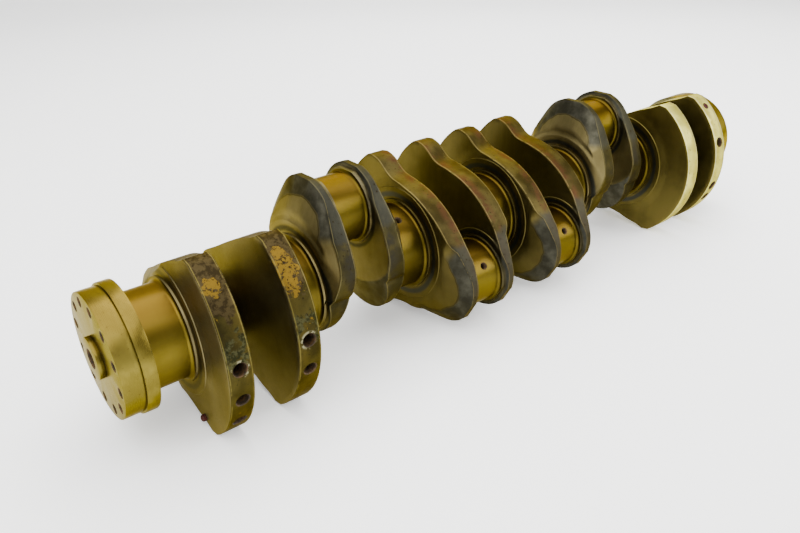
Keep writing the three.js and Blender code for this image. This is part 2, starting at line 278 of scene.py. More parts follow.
def ground_journal(name, painted_light_gain):
    """Polished journal under an amber coat: fine grinding rings, drawn out round the shaft. Its tones are
    scaled by a gain of painted light and shade, and its upward faces get a painted warm top.
    """
    g = Graph(name)
    x = g.split(g.coords())[0]
    dark, pale, ringed, top = (tuple(painted_light_gain * c for c in tone) for tone in JOURNAL_TONES)
    rings = g.noise(g.join(x, 0.0, 0.0), 2600, 2)
    broad = g.noise(g.join(x, 0.0, 0.0), 160, 2)
    cloud = g.noise(g.stretch(g.coords(), 0.5, 1, 1), 22, 4)
    colour = g.mix(g.step(cloud, 0.35, 0.68), dark, pale)
    colour = g.mix(g.scaled(broad, 0, 0.5), colour, ringed)
    # Painted light: upward faces get the warmer top tone, for light falling from above.
    upward = g.split(g.node("ShaderNodeNewGeometry").outputs["Normal"])[2]
    colour = g.mix(g.scaled(g.step(upward, 0.25, 0.95), 0, 0.7), colour, top)
    return g.finish(
        Base_Color=colour,
        Metallic=1.0,
        Roughness=g.scaled(g.mean(rings, cloud), 0.25, 0.42),
        Normal=g.bump(rings, 0.12, 0.0004),
        Specular_Tint=EDGE_TINT,
        Coat_Weight=0.02,
        Coat_Roughness=0.12,
    )


# Coat of the flange and drum: clouds, a warmer top tone that is painted light on upward faces, clouds on
# the end face, and dark specks.
FLANGE_CLOUDS = ((0.118, 0.0914, 0.0129), (0.193, 0.154, 0.0271))
FLANGE_TOP_PAINTED_LIGHT = (0.132, 0.0843, 0.0143)
FLANGE_END_CLOUDS = ((0.100, 0.0886, 0.0329), (0.161, 0.146, 0.0643))
FLANGE_SPECK = (0.0714, 0.0464, 0.0086)


def turned_flange():
    """Turned flange and drum: brass-gold coat, radial wipe marks on the face and rings on the edge."""
    g = Graph("turned_flange")
    x, y, z = g.split(g.coords())
    radius = g.length(y, z)
    rings = g.noise(g.join(g.math("ADD", radius, x), 0.0, 0.0), 1500, 2)
    cloud = g.noise(g.coords(), 26, 4)
    speck = g.noise(g.coords(), 260, 3)
    colour = g.mix(g.step(cloud, 0.36, 0.66), *FLANGE_CLOUDS)
    facing, _, upward = g.split(g.node("ShaderNodeNewGeometry").outputs["Normal"])
    # Painted light: upward faces get the warmer top tone, for light falling from above.
    colour = g.mix(g.scaled(g.step(upward, 0.1, 0.95), 0, 0.55), colour, FLANGE_TOP_PAINTED_LIGHT)
    colour = g.mix(g.step(facing, -0.7, -0.9), colour, g.mix(cloud, *FLANGE_END_CLOUDS))
    colour = g.mix(g.step(speck, 0.64, 0.74), colour, FLANGE_SPECK)
    rough = g.scaled(g.math("MULTIPLY", rings, cloud), 0.22, 0.5)
    return g.finish(
        Base_Color=colour,
        Metallic=1.0,
        Roughness=rough,
        Normal=g.bump(rings, 0.2, 0.0005),
        Specular_Tint=EDGE_TINT,
        Coat_Weight=0.02,
        Coat_Roughness=0.25,
    )


# Coat of a web face: dark and pale clouds, and streaks. Each kind of web scales them by its gain, which is
# painted light and shade: lit and shaded copies of one coat, darkest for the middle webs.
FACE_TONES = ((0.050, 0.0400, 0.0145), (0.096, 0.0775, 0.0310), (0.130, 0.1050, 0.0430))
FACE_PAINTED_LIGHT_GAIN = {
    "outer": (1.38, 1.42, 1.6),
    "middle": (0.78, 0.75, 0.50),
    "far": (1.02, 0.99, 0.55),
    "plain": (1.62, 1.62, 1.6),
}
SLATE_TONES = ((0.0165, 0.0163, 0.0120), (0.048, 0.047, 0.0345))
# Painted light and shade: each kind of web scales its slate by a gain, as lit and shaded copies of one
# slate.
SLATE_PAINTED_LIGHT_GAIN = {"outer": 1.1, "middle": 0.85, "far": 1.0, "plain": 1.3}
HEAT_RING_TINT = (0.0243, 0.0279, 0.0257)
SLATE_LINE = (0.0086, 0.0071, 0.0043)

# Places on a web face, in millimetres. Slate lies outside an arc near the crankpin end and above a level,
# and outside a wider arc about the crankpin at the heel.
MAIN_HEAT_RING = (60.5, 66.5)
PIN_HEAT_RING = (46.5, 51.0)
SLATE_ARC_V = 57.0
SLATE_ARC = (46.0, 48.0)
SLATE_ARC_LINE = (45.6, 46.6)
SLATE_LEVEL = (62.0, 74.0)
SLATE_HEEL_ARC = (91.0, 94.0)
PIN_SIDE_SLATE = 0.6


def scaled_tone(painted_light_gain, tone):
    return tuple(map(operator.mul, painted_light_gain, tone))


def slate_zone(g, v, pin_r, arc_r, ripple, is_main_side, kind):
    """How much of a web face is slate: its crankpin end and, on a plain web's pin side, its heel."""
    zone = g.math("MULTIPLY", g.step(arc_r, *SLATE_ARC), g.step(v, *SLATE_LEVEL))
    if is_main_side:
        return zone
    zone = g.math("MULTIPLY", zone, PIN_SIDE_SLATE)
    if kind != "plain":
        return zone
    heel = g.math("ADD", pin_r, g.math("MULTIPLY", ripple, 0.3))
    return g.math("MAXIMUM", zone, g.step(heel, *SLATE_HEEL_ARC))


def face_colour(g, cloud, kind):
    """Olive-brown coat of a web face, in clouds and streaks, scaled by the kind's gain of painted light and
    shade.
    """
    streaks = g.noise(g.stretch(g.coords(), 1, 1, 0.12), 190, 3)
    dark, pale, streak = (scaled_tone(FACE_PAINTED_LIGHT_GAIN[kind], tone) for tone in FACE_TONES)
    colour = g.mix(g.step(cloud, 0.35, 0.65), dark, pale)
    return g.mix(g.scaled(streaks, 0, 0.35), colour, streak)


def web_face(name, is_main_side, kind):
    """Machined web face: olive-brown coat, a blue-grey heat ring by the journal, slate tapers."""
    g = Graph(name)
    u, v, _ = g.split(g.attribute("web_uvw"))
    ripple = g.centred(g.noise(g.coords(), 40, 4), 9.0)
    wave = g.centred(g.noise(g.coords(), 24, 3), 16.0)
    main_r = g.length(u, v)
    pin_r = g.length(u, g.math("SUBTRACT", v, THROW))
    arc_r = g.math("ADD", g.length(u, g.math("SUBTRACT", v, SLATE_ARC_V)), wave)
    near_r, heat_ring = (main_r, MAIN_HEAT_RING) if is_main_side else (pin_r, PIN_HEAT_RING)

    cloud = g.noise(g.coords(), 15, 5)
    colour = face_colour(g, cloud, kind)
    ring = band(g, g.math("ADD", near_r, g.math("MULTIPLY", ripple, 0.25)), *heat_ring, 1.8)
    colour = g.mix(g.math("MULTIPLY", ring, 0.9), colour, HEAT_RING_TINT)
    mottle = g.noise(g.coords(), 60, 6, 0.6)
    # Slate tones scaled by the kind's gain of painted light and shade.
    dark, pale = (scaled_tone([SLATE_PAINTED_LIGHT_GAIN[kind]] * 3, tone) for tone in SLATE_TONES)
    slate = g.mix(g.step(mottle, 0.34, 0.74), dark, pale)
    zone = slate_zone(g, v, pin_r, arc_r, ripple, is_main_side, kind)
    colour = g.mix(g.math("MULTIPLY", zone, 0.94), colour, slate)
    line = g.math("MULTIPLY", band(g, arc_r, *SLATE_ARC_LINE, 0.8), g.step(v, *SLATE_LEVEL))
    colour = g.mix(g.math("MULTIPLY", line, 0.8), colour, SLATE_LINE)

    marks = g.noise(g.join(near_r, 0.0, 0.0), 2.2, 2)
    grain = g.noise(g.coords(), 420, 3)
    return g.finish(
        Base_Color=colour,
        Metallic=1.0,
        Roughness=g.scaled(g.math("MULTIPLY", cloud, grain), 0.34, 0.62),
        Normal=g.bump(g.mean(marks, grain), 0.16, 0.0006),
        Specular_Tint=EDGE_TINT,
        Coat_Weight=0.02,
        Coat_Roughness=0.3,
    )


# Rim coats: low and high tones of the skin, bare patches, and the tint towards the crankpin side. The pale
# set is painted light: the far webs' rims painted bright as if lit from the right.
RIM_TONES = {
    "scaled": (
        (0.0195, 0.0160, 0.0050),
        (0.0450, 0.0365, 0.0095),
        (0.122, 0.074, 0.0095),
        (0.043, 0.0330, 0.0080),
    ),
    "tinted": (
        (0.0235, 0.0180, 0.0065),
        (0.053, 0.0415, 0.0140),
        (0.066, 0.051, 0.0165),
        (0.048, 0.0235, 0.0115),
    ),
    "plain": (
        (0.0186, 0.0164, 0.0071),
        (0.0429, 0.0357, 0.0136),
        (0.0607, 0.0486, 0.0171),
        (0.0214, 0.0193, 0.0129),
    ),
    # Painted light: the far webs' rims, painted bright as if lit from the right.
    "pale": (
        (0.300, 0.275, 0.062),
        (0.480, 0.440, 0.118),
        (0.530, 0.485, 0.140),
        (0.295, 0.258, 0.052),
    ),
}
RIM_SLATE = ((0.0129, 0.0129, 0.0093), (0.0371, 0.0364, 0.0271))
RIM_PIT = (0.0129, 0.0093, 0.0043)
SCALE_TONES = ((0.0171, 0.0121, 0.0057), (0.0414, 0.03, 0.0129))
GREEN_TONES = ((0.0114, 0.0129, 0.0057), (0.0429, 0.0429, 0.0186))
CHIP_TONE = (0.171, 0.161, 0.0929)

# Round a scaled rim, in degrees: where the dark scale fades out, and where the green lies.
SCALE_ENDS = (157.0, 153.0)
GREEN_BAND = (165.0, 174.0)

# Distance from the middle of its hole at which the chipping fades out, in metres.
CHIP_REACH = (0.0108, 0.0088)


def web_rim(name, tones, marks=None):
    """Edge of a web: forged skin with flaked coating, tinted towards the crankpin side.

    Marks, where given, are the middle and half size of one bare patch, and the place of a chipped hole.
    """
    g = Graph(name)
    low, high, patch, tint = tones
    _, height_up, side = g.split(g.attribute("web_uvw"))
    cloud = g.noise(g.coords(), 30, 5, 0.6)
    blotch = g.noise(g.coords(), 55, 6, 0.65)
    pits = g.noise(g.coords(), 240, 4, 0.6)
    colour = g.mix(g.step(cloud, 0.36, 0.64), low, high)
    colour = g.mix(g.math("MULTIPLY", g.step(side, -4.0, 7.0), g.step(blotch, 0.38, 0.58)), colour, tint)
    flaked = g.math("MULTIPLY", g.step(blotch, 0.66, 0.69), g.step(pits, 0.34, 0.42))
    colour = g.mix(flaked, colour, patch)
    tip = g.step(g.math("ADD", height_up, g.math("MULTIPLY", blotch, 24.0)), 72.0, 82.0)
    colour = g.mix(g.math("MULTIPLY", tip, 0.85), colour, g.mix(cloud, *RIM_SLATE))
    if marks is not None:
        colour = scaled_rim(g, colour, patch, blotch, pits, *marks)
    colour = g.mix(g.step(pits, 0.62, 0.70), colour, RIM_PIT)
    # Rim edges brightened in patches: partly bare worn metal, partly a painted highlight along the edge.
    edge = g.node("ShaderNodeAttribute", attribute_name="web_edge").outputs["Fac"]
    worn_and_highlit_edge = g.math("MULTIPLY", g.step(edge, 0.78, 0.95), g.step(blotch, 0.36, 0.46))
    colour = g.mix(g.math("MULTIPLY", worn_and_highlit_edge, 0.5), colour, tuple(min(0.5, 4 * c) for c in high))
    height = g.math("ADD", g.math("MULTIPLY", pits, 0.6), g.math("MULTIPLY", blotch, 0.8))
    return g.finish(
        Base_Color=colour,
        Metallic=1.0,
        Roughness=g.scaled(g.math("MULTIPLY", blotch, pits), 0.38, 0.85),
        Normal=g.bump(height, 0.35, 0.001),
        Specular_Tint=EDGE_TINT,
    )


def rim_angle(g):
    """Angle round the shaft in degrees, measured from the far side so that it doesn't wrap on a rim."""
    _, y, z = g.split(g.coords())
    opposite = g.math("ARCTAN2", g.math("MULTIPLY", z, -1.0), g.math("MULTIPLY", y, -1.0))
    return g.math("ADD", g.math("MULTIPLY", opposite, 180 / math.pi), 180.0)


def patch_zone(g, centre, half_size, fine):
    """Ragged, speckled ellipsoid about a centre, where the coat has come off."""
    offset = g.node("ShaderNodeVectorMath", {0: g.coords(), 1: centre}, operation="SUBTRACT").outputs[0]
    offset = g.node("ShaderNodeVectorMath", {0: offset, 1: half_size}, operation="DIVIDE").outputs[0]
    away = g.node("ShaderNodeVectorMath", {0: offset}, operation="LENGTH").outputs[1]
    ragged = g.math("ADD", away, g.centred(fine, 3.0))
    specks = g.step(g.noise(g.coords(), 210, 5, 0.7), 0.42, 0.46)
    return g.math("MULTIPLY", g.step(ragged, 1.0, 0.9), specks)


def scaled_rim(g, colour, patch, blotch, pits, centre, half_size, chipped):
    """Adds dark scale to the top of a rim, mould-green blotches, one bare patch and one chipped hole."""
    angle = g.math("ADD", rim_angle(g), g.centred(blotch, 60.0))
    fine = g.noise(g.coords(), 150, 6, 0.72)
    scale = g.mix(g.step(fine, 0.45, 0.55), *SCALE_TONES)
    colour = g.mix(g.math("MULTIPLY", g.step(angle, *SCALE_ENDS), 0.9), colour, scale)
    green = g.mix(g.step(fine, 0.44, 0.54), *GREEN_TONES)
    colour = g.mix(g.math("MULTIPLY", band(g, angle, *GREEN_BAND, 1.5), 0.85), colour, green)
    colour = g.mix(patch_zone(g, centre, half_size, fine), colour, patch)
    from_hole = g.node("ShaderNodeVectorMath", {0: g.coords(), 1: chipped}, operation="DISTANCE").outputs[1]
    chip = g.math("MULTIPLY", g.step(from_hole, *CHIP_REACH), g.step(blotch, 0.49, 0.53))
    return g.mix(g.math("MULTIPLY", chip, g.step(pits, 0.38, 0.46)), colour, CHIP_TONE)


def drilled_hole():
    """Inside of a drilled hole: dark, rusty, faintly ringed by the drill."""
    g = Graph("drilled_hole")
    rust = g.noise(g.coords(), 180, 4)
    colour = g.mix(g.step(rust, 0.4, 0.65), (0.026, 0.016, 0.006), (0.085, 0.044, 0.015))
    return g.finish(Base_Color=colour, Metallic=0.5, Roughness=0.7, Normal=g.bump(rust, 0.4, 0.0008))


def red_plug():
    """Dark red-brown sealing plug with a waxy, uneven skin."""
    g = Graph("red_plug")
    wax = g.noise(g.coords(), 300, 4)
    colour = g.mix(g.step(wax, 0.4, 0.65), (0.0286, 0.0043, 0.0029), (0.0607, 0.0114, 0.0071))
    return g.finish(
        Base_Color=colour,
        Roughness=0.55,
        Specular_IOR_Level=0.15,
        Normal=g.bump(wax, 0.5, 0.0008),
    )


# ---------------------------------------------------------------- mesh helpers


def to_object(name, points, faces, materials, face_slots=None, smooth_deg=28):
    """Object from millimetre points, shaded smooth but for edges sharper than an angle."""
    mesh = bpy.data.meshes.new(name)
    mesh.from_pydata([Vector(p) * MM for p in points], [], faces)
    for material in materials:
        mesh.materials.append(material)
    if face_slots is not None:
        mesh.polygons.foreach_set("material_index", face_slots)
    made = bpy.data.objects.new(name, mesh)
    bpy.context.scene.collection.objects.link(made)
    shade(made, smooth_deg)
    return made


def shade(piece, smooth_deg):
    """Turns every face outward and shades the piece smooth but for its sharper edges."""
    mesh = piece.data
    work = bmesh.new()
    work.from_mesh(mesh)
    bmesh.ops.recalc_face_normals(work, faces=work.faces)
    work.to_mesh(mesh)
    work.free()
    mesh.polygons.foreach_set("use_smooth", [True] * len(mesh.polygons))
    mesh.set_sharp_from_angle(angle=math.radians(smooth_deg))


def rings_to_faces(ring_count, count):
    """Quads between successive closed rings of points."""
    faces = []
    for ring in range(ring_count - 1):
        for i in range(count):
            j = (i + 1) % count
            a, b = ring * count, (ring + 1) * count
            faces.append((a + i, a + j, b + j, b + i))
    return faces


def turned_points(profile, segments):
    """Points of a profile of (radius, x) spun about the X axis, without the axis points."""
    points = []
    for radius, x in profile:
        for i in range(segments):
            turn = 2 * math.pi * i / segments
            points.append((x, radius * math.cos(turn), radius * math.sin(turn)))
    return points


def turned(name, profile, material, place=(0, 0, 0), segments=JOURNAL_SEGMENTS, smooth_deg=28):
    """Closed turned piece about a line parallel to X through place. Its profile runs to +X."""
    points = [Vector(p) + Vector(place) for p in turned_points(profile, segments)]
    faces = rings_to_faces(len(profile), segments)
    last = (len(profile) - 1) * segments
    faces.append(tuple(range(segments))[::-1])
    faces.append(tuple(last + i for i in range(segments)))
    flipped = [face[::-1] for face in faces]
    return to_object(name, points, flipped, [material], smooth_deg=smooth_deg)


def hole_cutter(place, direction, steps, segments=40, material=None):
    """Solid along a direction from a place. Steps are (radius, distance out)."""
    cutter = turned("cutter", steps, material or HOLE, segments=segments)
    turn = Vector((1, 0, 0)).rotation_difference(Vector(direction)).to_matrix().to_4x4()
    cutter.data.transform(Matrix.Translation(Vector(place) * MM) @ turn)
    return cutter


def carve(piece, cutters, smooth_deg=28):
    """Takes each cutter out of the piece and removes the cutter."""
    for cutter in cutters:
        cut = piece.modifiers.new("carve", "BOOLEAN")
        cut.operation = "DIFFERENCE"
        cut.solver = "EXACT"
        cut.material_mode = "TRANSFER"
        cut.object = cutter
    graph = bpy.context.evaluated_depsgraph_get()
    carved = bpy.data.meshes.new_from_object(piece.evaluated_get(graph))
    piece.modifiers.clear()
    piece.data = carved
    for cutter in cutters:
        bpy.data.objects.remove(cutter)
    shade(piece, smooth_deg)


def place_piece(piece, node):
    """Ties a piece to the one rigid body and hides the CAD node it stands for."""
    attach(piece, "root")
    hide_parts(node)


# ---------------------------------------------------------------- journals and crankpins


def fillet_profile(radius, half, is_left_end=False):
    """Profile from a journal's ground surface out through its fillet, towards +X."""
    arc = []
    for i in range(FILLET_STEPS + 1):
        turn = math.radians(90 * i / FILLET_STEPS)
        arc.append((radius + FILLET * (1 - math.cos(turn)), half - FILLET * (1 - math.sin(turn))))
    if is_left_end:
        return [(r, -x) for r, x in reversed(arc)]
    return arc


def oil_cutter(place, radius, deg):
    """Cutter for the blind mouth of an oil hole in a journal, with a soft countersink."""
    direction = (0, math.cos(math.radians(deg)), math.sin(math.radians(deg)))
    steps = [
        (OIL_R, radius - OIL_DEPTH),
        (OIL_R, radius - 2.2),
        (OIL_R + 0.5, radius - 1.2),
        (OIL_MOUTH - 0.3, radius + 0.2),
        (OIL_MOUTH + 1.2, radius + 4),
    ]
    return hole_cutter(place, direction, steps)


def throw_deg(k):
    """Angle of crankpin k about the crank axis, from +Y towards +Z."""
    middle = centre_of(f"crankpin_{k}")
    return math.degrees(math.atan2(middle.z, middle.y))


def make_journal(node, radius, axis, oil_deg):
    """One journal between its webs, or against the flange or drum where it is an end journal."""
    low, high = (Vector(corner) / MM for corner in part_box(node))
    middle = (low.x + high.x) / 2
    half = HALF_GAP
    if node == "main_journal_1":
        middle = high.x - half
    if node == "main_journal_7":
        middle = low.x + half
    left = fillet_profile(radius, half, is_left_end=True)
    right = fillet_profile(radius, half)
    if node == "main_journal_1":
        left = [(radius, low.x - middle)]
    if node == "main_journal_7":
        right = [(radius, high.x - middle)]
    inside = 0.3
    core_r = radius * 0.6
    profile = [(core_r, left[0][1] + inside), *left, *right, (core_r, right[-1][1] - inside)]
    # Painted shade: all but the end journal take the darker copy, for the shade between the webs.
    material = GROUND if node == "main_journal_1" else GROUND_INNER_PAINTED_SHADE
    piece = turned(f"{node}_shown", profile, material, (middle, *axis))
    carve(piece, [oil_cutter((middle, *axis), radius, oil_deg)])
    place_piece(piece, node)


def make_journals():
    for k in range(1, 8):
        oil_deg = throw_deg(MAIN_OIL_PIN[k - 1]) + MAIN_OIL_TURN
        make_journal(f"main_journal_{k}", MAIN_R, (0, 0), oil_deg)
    for k in range(1, 7):
        deg = throw_deg(k)
        axis = (THROW * math.cos(math.radians(deg)), THROW * math.sin(math.radians(deg)))
        make_journal(f"crankpin_{k}", PIN_R, axis, deg + PIN_OIL_TURN)


# ---------------------------------------------------------------- webs


def spline(stations, steps):
    """Catmull-Rom curve through the stations."""
    points = []
    last = len(stations) - 1
    for i in range(steps + 1):
        at = last * i / steps
        k = min(int(at), last - 1)
        t = at - k
        p = [Vector(stations[max(0, min(last, k + o))]) for o in (-1, 0, 1, 2)]
        slope_a, slope_b = (p[2] - p[0]) / 2, (p[3] - p[1]) / 2
        points.append(
            (2 * t**3 - 3 * t**2 + 1) * p[1]
            + (t**3 - 2 * t**2 + t) * slope_a
            + (3 * t**2 - 2 * t**3) * p[2]
            + (t**3 - t**2) * slope_b
        )
    return points


def polar(radius, deg):
    """Point (y, z), or (u, v), at a radius and an angle."""
    return (radius * math.cos(math.radians(deg)), radius * math.sin(math.radians(deg)))


def web_outline(kind):
    """Closed outline of a web with the throw straight up, anticlockwise."""
    mirrored_cheek = [(-u, v) for u, v in CHEEK]
    if kind == "plain":
        right = spline([*PLAIN_WAIST, *CHEEK], OUTLINE_STEPS["plain"])
        left = [Vector((-p.x, p.y)) for p in reversed(right)]
        back = [Vector(polar(BACK_R, deg)) for deg in range(184, 358, BACK_STEP_DEG)]
        return right + left + back
    end = RIM_CENTRE + RIM_HALF_ANGLE
    start = RIM_CENTRE - RIM_HALF_ANGLE
    corner = math.degrees(RIM_CORNER / RIM_R)
    inset_r = RIM_R - RIM_INSET
    right = spline([polar(inset_r, end), *SHOULDERS[kind], *CHEEK], OUTLINE_STEPS["near"])
    left = spline([polar(inset_r, start), *FAR_FLANK, *mirrored_cheek[1:]], OUTLINE_STEPS["far"])[::-1]
    steps = OUTLINE_STEPS["rim"]
    first, sweep = start + corner, end - start - 2 * corner
    rim = [Vector(polar(RIM_R, first + sweep * i / steps)) for i in range(steps + 1)]
    return right + left + rim


def soft_highest(values):
    """Highest of some depths, or 0, with soft creases between them."""
    power = 8
    return sum(max(0.0, value) ** power for value in values) ** (1 / power)


def taper(planes, u, v):
    """Depth of the planed tapers at a point. Those at the tip's corners fade out down the flanks."""
    depths = []
    for turn, start, slope in planes:
        deg = math.radians(turn)
        along = u * math.sin(deg) + v * math.cos(deg)
        depth = slope * (along - start)
        if abs(turn) == TIP_CORNER_TURN:
            inward = math.copysign(1, turn) * -u * math.cos(deg) + v * math.sin(abs(deg))
            depth *= min(1.0, max(0.0, inward / TIP_CORNER_FADE))
        depths.append(depth)
    return soft_highest(depths)


def machined_edge(radius, edge):
    """Depth outside a machined face: a crisp lip, then a long run down to the forged plane."""
    if radius < edge + 0.3:
        return 0.0
    return min(FACE_PROUD, EDGE_LIP + (radius - edge) * (FACE_PROUD - EDGE_LIP) / EDGE_RUN)


def main_depth(u, v, kind):
    """Depth of the journal-side face below its machined plane, in millimetres."""
    radius = math.hypot(u, v)
    is_plain = kind == "plain"
    if radius < MAIN_R + COLLAR_W:
        return -COLLAR_PROUD
    planes = TIP_MAIN + SIDE_TAPERS[kind]
    if not is_plain:
        return max(taper(planes, u, v), machined_edge(radius, MAIN_FACE_R))
    start, slope = HEEL_MAIN
    heel = slope * (radius - start) * min(1.0, max(0.0, (HEEL_MAIN_TOP - v) / HEEL_MAIN_FADE))
    face_edge = min(FACE_PROUD, max(0.0, (radius - MAIN_FACE_R) * 0.5))
    return max(taper(planes, u, v), face_edge, heel)


def pin_depth(u, v, is_plain):
    """Depth of the crankpin-side face below its machined plane, in millimetres."""
    radius = math.hypot(u, v - THROW)
    if radius < PIN_R + COLLAR_W:
        return -COLLAR_PROUD
    edge = PIN_FACE_R["plain" if is_plain else "weighted"]
    depth = max(taper(TIP_PIN, u, v), machined_edge(radius, edge))
    if is_plain and v < HEEL_PIN_TOP:
        start, slope = HEEL_PIN
        depth = max(depth, slope * (radius - start))
    return depth


def ring_radii(fixed, outer, edge_r):
    """Radii of one spoke: fixed circles, then even steps out to the edge's small round."""
    reach = edge_r - EDGE
    wanted = list(fixed) + [fixed[-1] + (reach - fixed[-1]) * i / outer for i in range(1, outer + 1)]
    count = len(wanted)
    return [min(radius, reach - 0.3 * (count - 1 - i)) for i, radius in enumerate(wanted)]


def face_rings(outline, centre_v, fixed, outer, depth_at):
    """Rings of (u, v, depth) from the journal out to the web's edge, rounded at the edge."""
    spokes = []
    for p in outline:
        out = p - Vector((0, centre_v))
        edge_r = out.length
        out = out.normalized()
        spoke = []
        for radius in ring_radii(fixed, outer, edge_r):
            u, v = out.x * radius, centre_v + out.y * radius
            spoke.append((u, v, depth_at(u, v)))
        u, v = out.x * edge_r, centre_v + out.y * edge_r
        edge_depth = depth_at(out.x * (edge_r - EDGE), centre_v + out.y * (edge_r - EDGE))
        near = edge_r - 0.3 * EDGE
        spoke.append((out.x * near, centre_v + out.y * near, edge_depth + 0.3 * EDGE))
        spoke.append((u, v, edge_depth + EDGE))
        spokes.append(spoke)
    return [[spoke[i] for spoke in spokes] for i in range(len(spokes[0]))]


def rim_plug_place():
    """Point on the rim over the plug of web 12, and the direction out of the rim, in millimetres."""
    middle = centre_of(f"balance_plug_web_{RIM_PLUG_WEB}")
    deg = math.degrees(math.atan2(middle.z, middle.y))
    return Vector((middle.x / MM, *polar(RIM_R, deg))), (0, *polar(1, deg))


def plug_counterbore():
    """Cutter for the shallow counterbore that shows round the rim plug."""
    place, out = rim_plug_place()
    steps = [(PLUG_R + 0.4, -2.2), (PLUG_R + 0.7, -1.8), (PLUG_R + 0.9, -0.3), (PLUG_R + 2.1, 1.0)]
    return hole_cutter(place, out, steps, 48)


def web_rings(outline, kind):
    """Rings of a web's main journal side, and of its crankpin side.

    The fixed circles follow the fillet, the collar and the face's edge, so that each is drawn crisply.
    """
    collar = MAIN_R + COLLAR_W
    fixed = [MAIN_R - 3, collar - 0.4, collar + 0.1, 62, 67, MAIN_FACE_R - 0.2, MAIN_FACE_R + 0.6]
    main_rings = face_rings(outline, 0, fixed, 13, lambda u, v: main_depth(u, v, kind))
    collar, face = PIN_R + COLLAR_W, PIN_FACE_R["weighted"]
    fixed = [PIN_R - 3, collar - 0.4, collar + 0.1, 49, face - 0.2, face + 0.6]
    pin_rings = face_rings(outline, THROW, fixed, 20, lambda u, v: pin_depth(u, v, kind == "plain"))
    return main_rings, pin_rings


def web_points(main_rings, pin_rings, main_x, pin_x):
    """Points (u, v, x) of a whole web, ring by ring, from its main side over the rim to its pin side."""
    to_pin = math.copysign(1, pin_x - main_x)
    points = [(u, v, main_x + to_pin * depth) for ring in main_rings for u, v, depth in ring]
    for i in range(1, RIM_STEPS):
        for (u, v, main_deep), (_, _, pin_deep) in zip(main_rings[-1], pin_rings[-1]):
            start, end = main_x + to_pin * main_deep, pin_x - to_pin * pin_deep
            points.append((u, v, start + (end - start) * i / RIM_STEPS))
    points += [(u, v, pin_x - to_pin * depth) for ring in reversed(pin_rings) for u, v, depth in ring]
    return points


def web_faces(main_count, pin_count, count):
    """Faces of a web and their material slots: 0 on the main side, 1 on the pin side, 2 on the rim."""
    ring_count = main_count + RIM_STEPS - 1 + pin_count
    faces = rings_to_faces(ring_count, count)
    slots = []
    for ring in range(ring_count - 1):
        on_main = ring < main_count - 2
        on_pin = ring > main_count + RIM_STEPS - 1
        slots += [0 if on_main else 1 if on_pin else 2] * count
    last = (ring_count - 1) * count
    faces.append(tuple(range(count))[::-1])
    faces.append(tuple(last + i for i in range(count)))
    return faces, slots + [0, 1]


def mark_web(mesh, local, main_count, count):
    """Stores each point's place in the web's own plane, and marks the rim's two edges."""
    places = mesh.attributes.new("web_uvw", "FLOAT_VECTOR", "POINT")
    places.data.foreach_set("vector", [value for triple in local for value in triple])
    edge_rings = (main_count - 1, main_count + RIM_STEPS - 1)
    edges = mesh.attributes.new("web_edge", "FLOAT", "POINT")
    edges.data.foreach_set("value", [float(i // count in edge_rings) for i in range(len(local))])


def web_cutters(n, middle_x):
    """Cutters for the balance holes of web n and, where it has a plug in its rim, the counterbore."""
    steps = [
        (BALANCE_R - 2, -BALANCE_DEPTH - 3),
        (BALANCE_R, -BALANCE_DEPTH),
        (BALANCE_R, -1.2),
        (BALANCE_R + 1, 0.2),
        (BALANCE_R + 3, 2.2),
    ]
    cutters = []
    for deg in BALANCE_ANGLES.get(n, []):
        place = Vector((middle_x, *polar(RIM_R, deg)))
        cutters.append(hole_cutter(place, (0, *polar(1, deg)), steps, 48))
    if n == RIM_PLUG_WEB:
        cutters.append(plug_counterbore())
    return cutters


def make_web(n):
    """Web n: two machined faces on polar grids about their journals, joined by the rim."""
    kind = WEB_KIND.get(n, "plain")
    low, high = (Vector(corner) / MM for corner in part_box(f"web_{n}"))
    main_is_low = n % 2 == 1
    to_pin = 1 if main_is_low else -1
    main_x = (low.x if main_is_low else high.x) + to_pin * COLLAR_PROUD
    pin_x = (high.x if main_is_low else low.x) - to_pin * COLLAR_PROUD
    middle_x = (main_x + pin_x) / 2
    outline = web_outline(kind)
    if kind == "outer":
        outline = [Vector((-p.x, p.y)) for p in reversed(outline)]

    main_rings, pin_rings = web_rings(outline, kind)
    flat = web_points(main_rings, pin_rings, main_x, pin_x)
    spin = math.radians(throw_deg(math.ceil(n / 2)) - 90)
    across, up = math.cos(spin), math.sin(spin)
    points = [(x, u * across - v * up, u * up + v * across) for u, v, x in flat]
    faces, slots = web_faces(len(main_rings), len(pin_rings), len(outline))
    if not main_is_low:
        faces = [face[::-1] for face in faces]

    face_kind = "far" if n in FAR_WEBS else kind
    materials = [FACES["main", face_kind], FACES["pin", face_kind], RIMS[n], HOLE]
    piece = to_object(f"web_{n}_shown", points, faces, materials, slots, smooth_deg=32)
    local = [(u, v, to_pin * (x - middle_x)) for u, v, x in flat]
    mark_web(piece.data, local, len(main_rings), len(outline))
    cutters = web_cutters(n, middle_x)
    if cutters:
        carve(piece, cutters, 32)
    place_piece(piece, f"web_{n}")


# ---------------------------------------------------------------- flange, drum and plugs


# A three-point round: how far its middle point keeps to the corner, and to each end.
ROUND_CORNER = 0.586
ROUND_END = 0.207


def rounded(profile_corners, size):
    """Profile with each inner corner cut into a small three-point round."""
    made = [profile_corners[0]]
    for before, at, after in zip(profile_corners, profile_corners[1:], profile_corners[2:]):
        at = Vector(at)
        back, on = (Vector(before) - at), (Vector(after) - at)
        start, end = at + back.normalized() * size, at + on.normalized() * size
        made += [tuple(start), tuple(at * ROUND_CORNER + (start + end) * ROUND_END), tuple(end)]
    return made + [profile_corners[-1]]


